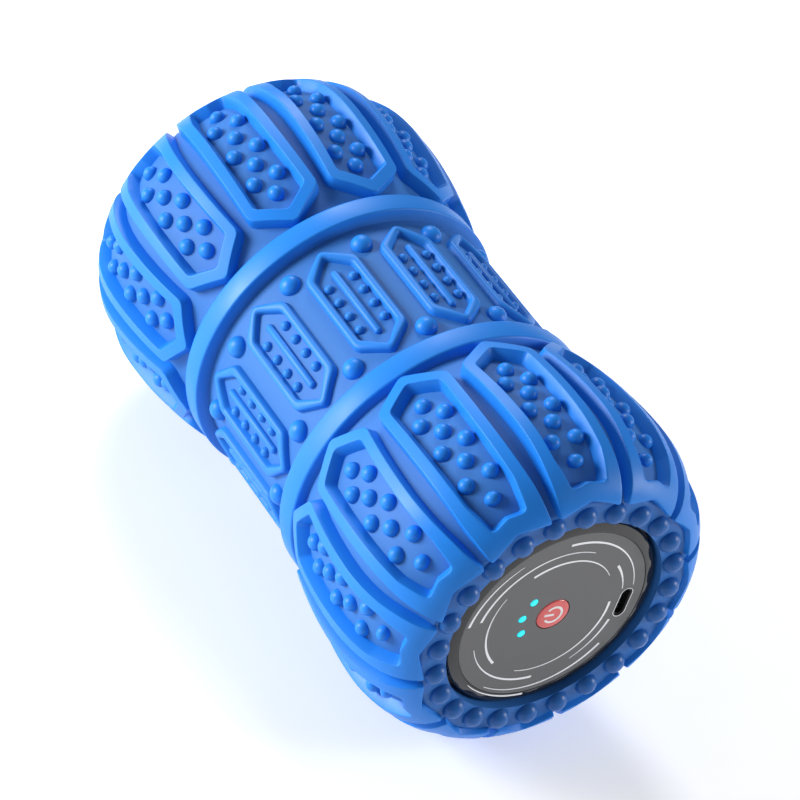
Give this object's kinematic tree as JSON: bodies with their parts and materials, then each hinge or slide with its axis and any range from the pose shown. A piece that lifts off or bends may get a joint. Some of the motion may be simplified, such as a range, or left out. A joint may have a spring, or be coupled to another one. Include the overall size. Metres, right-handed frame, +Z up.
{
  "type": "vibrating foam roller",
  "caption": "Short vibrating foam roller with a waisted tread sleeve, a motor and battery inside, and a button, indicator lights and charging port on one end.",
  "frame": {"origin": "centre of the bounding box's bottom face, below the middle of the roller as it lies on its side", "axes": "+X along the roller towards the control end, +Z up"},
  "size_m": [0.2036, 0.117, 0.117],
  "materials": {
    "sleeve_blue": "matte moulded elastomer",
    "core_black": "plain moulded",
    "cap_black": "fine moulded texture",
    "plate_grey": "satin",
    "bezel_black": "polished",
    "gasket_rubber": "matte",
    "button_red": "satin translucent",
    "port_metal": "satin",
    "board_green": "solder mask",
    "switch_black": "moulded",
    "chassis_grey": "moulded",
    "motor_steel": "zinc plated",
    "bell_black": "moulded",
    "shaft_steel": "ground",
    "rotor_copper": "wound",
    "strip_nickel": "nickel plated",
    "wire_red": "insulation",
    "wire_black": "insulation",
    "cell_green": "shrink wrap",
    "screw_steel": "zinc plated",
    "lens_cyan": "clear tinted",
    "chip_white": "moulded",
    "mount_rubber": "matte",
    "weight_brass": "machined"
  },
  "bodies": {
    "housing": {"battery_cell_1": "cell_green", "battery_cell_2": "cell_green", "battery_link": "strip_nickel", "battery_tab_1": "strip_nickel", "battery_tab_2": "strip_nickel", "battery_wire_black": "wire_black", "battery_wire_red": "wire_red", "bezel_ring": "bezel_black", "board_screw_1": "screw_steel", "board_screw_2": "screw_steel", "cap_screw_1": "screw_steel", "cap_screw_2": "screw_steel", "cap_screw_3": "screw_steel", "cell_pad_1": "mount_rubber", "cell_pad_2": "mount_rubber", "cell_pad_3": "mount_rubber", "cell_pad_4": "mount_rubber", "charge_socket": "port_metal", "chassis_lower": "chassis_grey", "chassis_screw_1": "screw_steel", "chassis_screw_2": "screw_steel", "chassis_screw_3": "screw_steel", "chassis_screw_4": "screw_steel", "chassis_upper": "chassis_grey", "control_board": "board_green", "control_cap": "cap_black", "controller_chip": "switch_black", "core_tube": "core_black", "face_plate": "plate_grey", "front_gasket": "gasket_rubber", "indicator_lens_1": "lens_cyan", "indicator_lens_2": "lens_cyan", "indicator_lens_3": "lens_cyan", "motor_can": "motor_steel", "motor_end_bell": "bell_black", "motor_mount_front": "mount_rubber", "motor_mount_rear": "mount_rubber", "motor_wire_black": "wire_black", "motor_wire_red": "wire_red", "port_bezel": "port_metal", "rear_cap": "cap_black", "rear_gasket": "gasket_rubber", "rear_plate": "cap_black", "rear_screw_1": "screw_steel", "rear_screw_2": "screw_steel", "rear_screw_3": "screw_steel", "sleeve": "sleeve_blue", "status_light_1": "chip_white", "status_light_2": "chip_white", "status_light_3": "chip_white", "switch_body": "switch_black"},
    "button": {"power_button": "button_red"},
    "plunger": {"switch_plunger": "switch_black"},
    "rotor": {"motor_shaft": "shaft_steel", "motor_rotor": "rotor_copper", "eccentric_weight_front": "weight_brass", "eccentric_weight_rear": "weight_brass", "weight_set_screw_front": "screw_steel", "weight_set_screw_rear": "screw_steel"}
  },
  "joints": [
    {"name": "power_button_press", "type": "slide", "parent": "housing", "child": "button", "axis": [-1, 0, 0], "range_m": [0, 0.0005], "stiffness_N_per_m": 400},
    {"name": "switch_plunger_press", "type": "slide", "parent": "housing", "child": "plunger", "axis": [-1, 0, 0], "range_m": [0, 0.0005]},
    {"name": "motor_spin", "type": "hinge", "parent": "housing", "child": "rotor", "pos_m": [0.033, 0, 0.05848], "axis": [1, 0, 0], "continuous": true}
  ],
  "couplings": [
    {"joint": "switch_plunger_press", "follows": "power_button_press", "ratio": 1}
  ]
}
